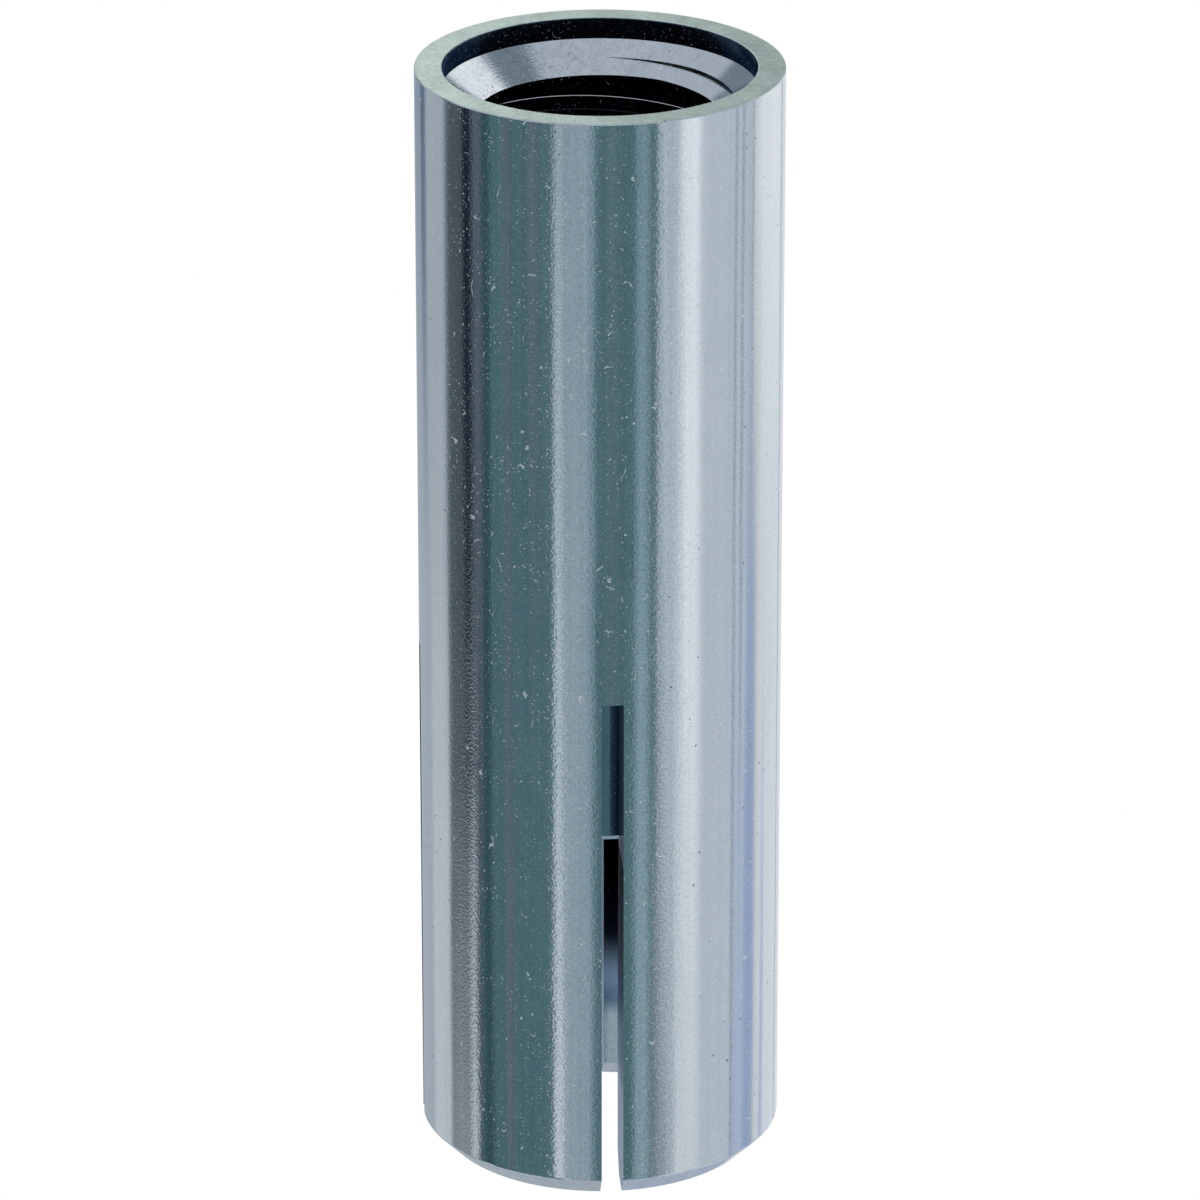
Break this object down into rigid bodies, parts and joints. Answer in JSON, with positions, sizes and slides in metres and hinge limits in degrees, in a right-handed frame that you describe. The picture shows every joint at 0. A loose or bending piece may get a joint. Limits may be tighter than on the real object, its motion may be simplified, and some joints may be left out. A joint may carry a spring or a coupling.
{
  "type": "drop in anchor",
  "caption": "Internally threaded steel sleeve with a slotted lower half and a loose expander plug that spreads it in a drilled hole.",
  "frame": {"origin": "centre of the slotted foot, on the plane that the anchor stands on", "axes": "+Z along the sleeve's axis from the slotted foot to the threaded mouth; the saw cuts lie along X and Y"},
  "size_m": [0.0159, 0.0158, 0.05],
  "materials": {
    "zinc_plated_steel": "bright zinc plate over turned steel",
    "plug_steel": "plain drawn steel, darker than the sleeve"
  },
  "bodies": {
    "root": {"sleeve": "zinc_plated_steel", "expander_plug": "plug_steel"}
  },
  "joints": []
}
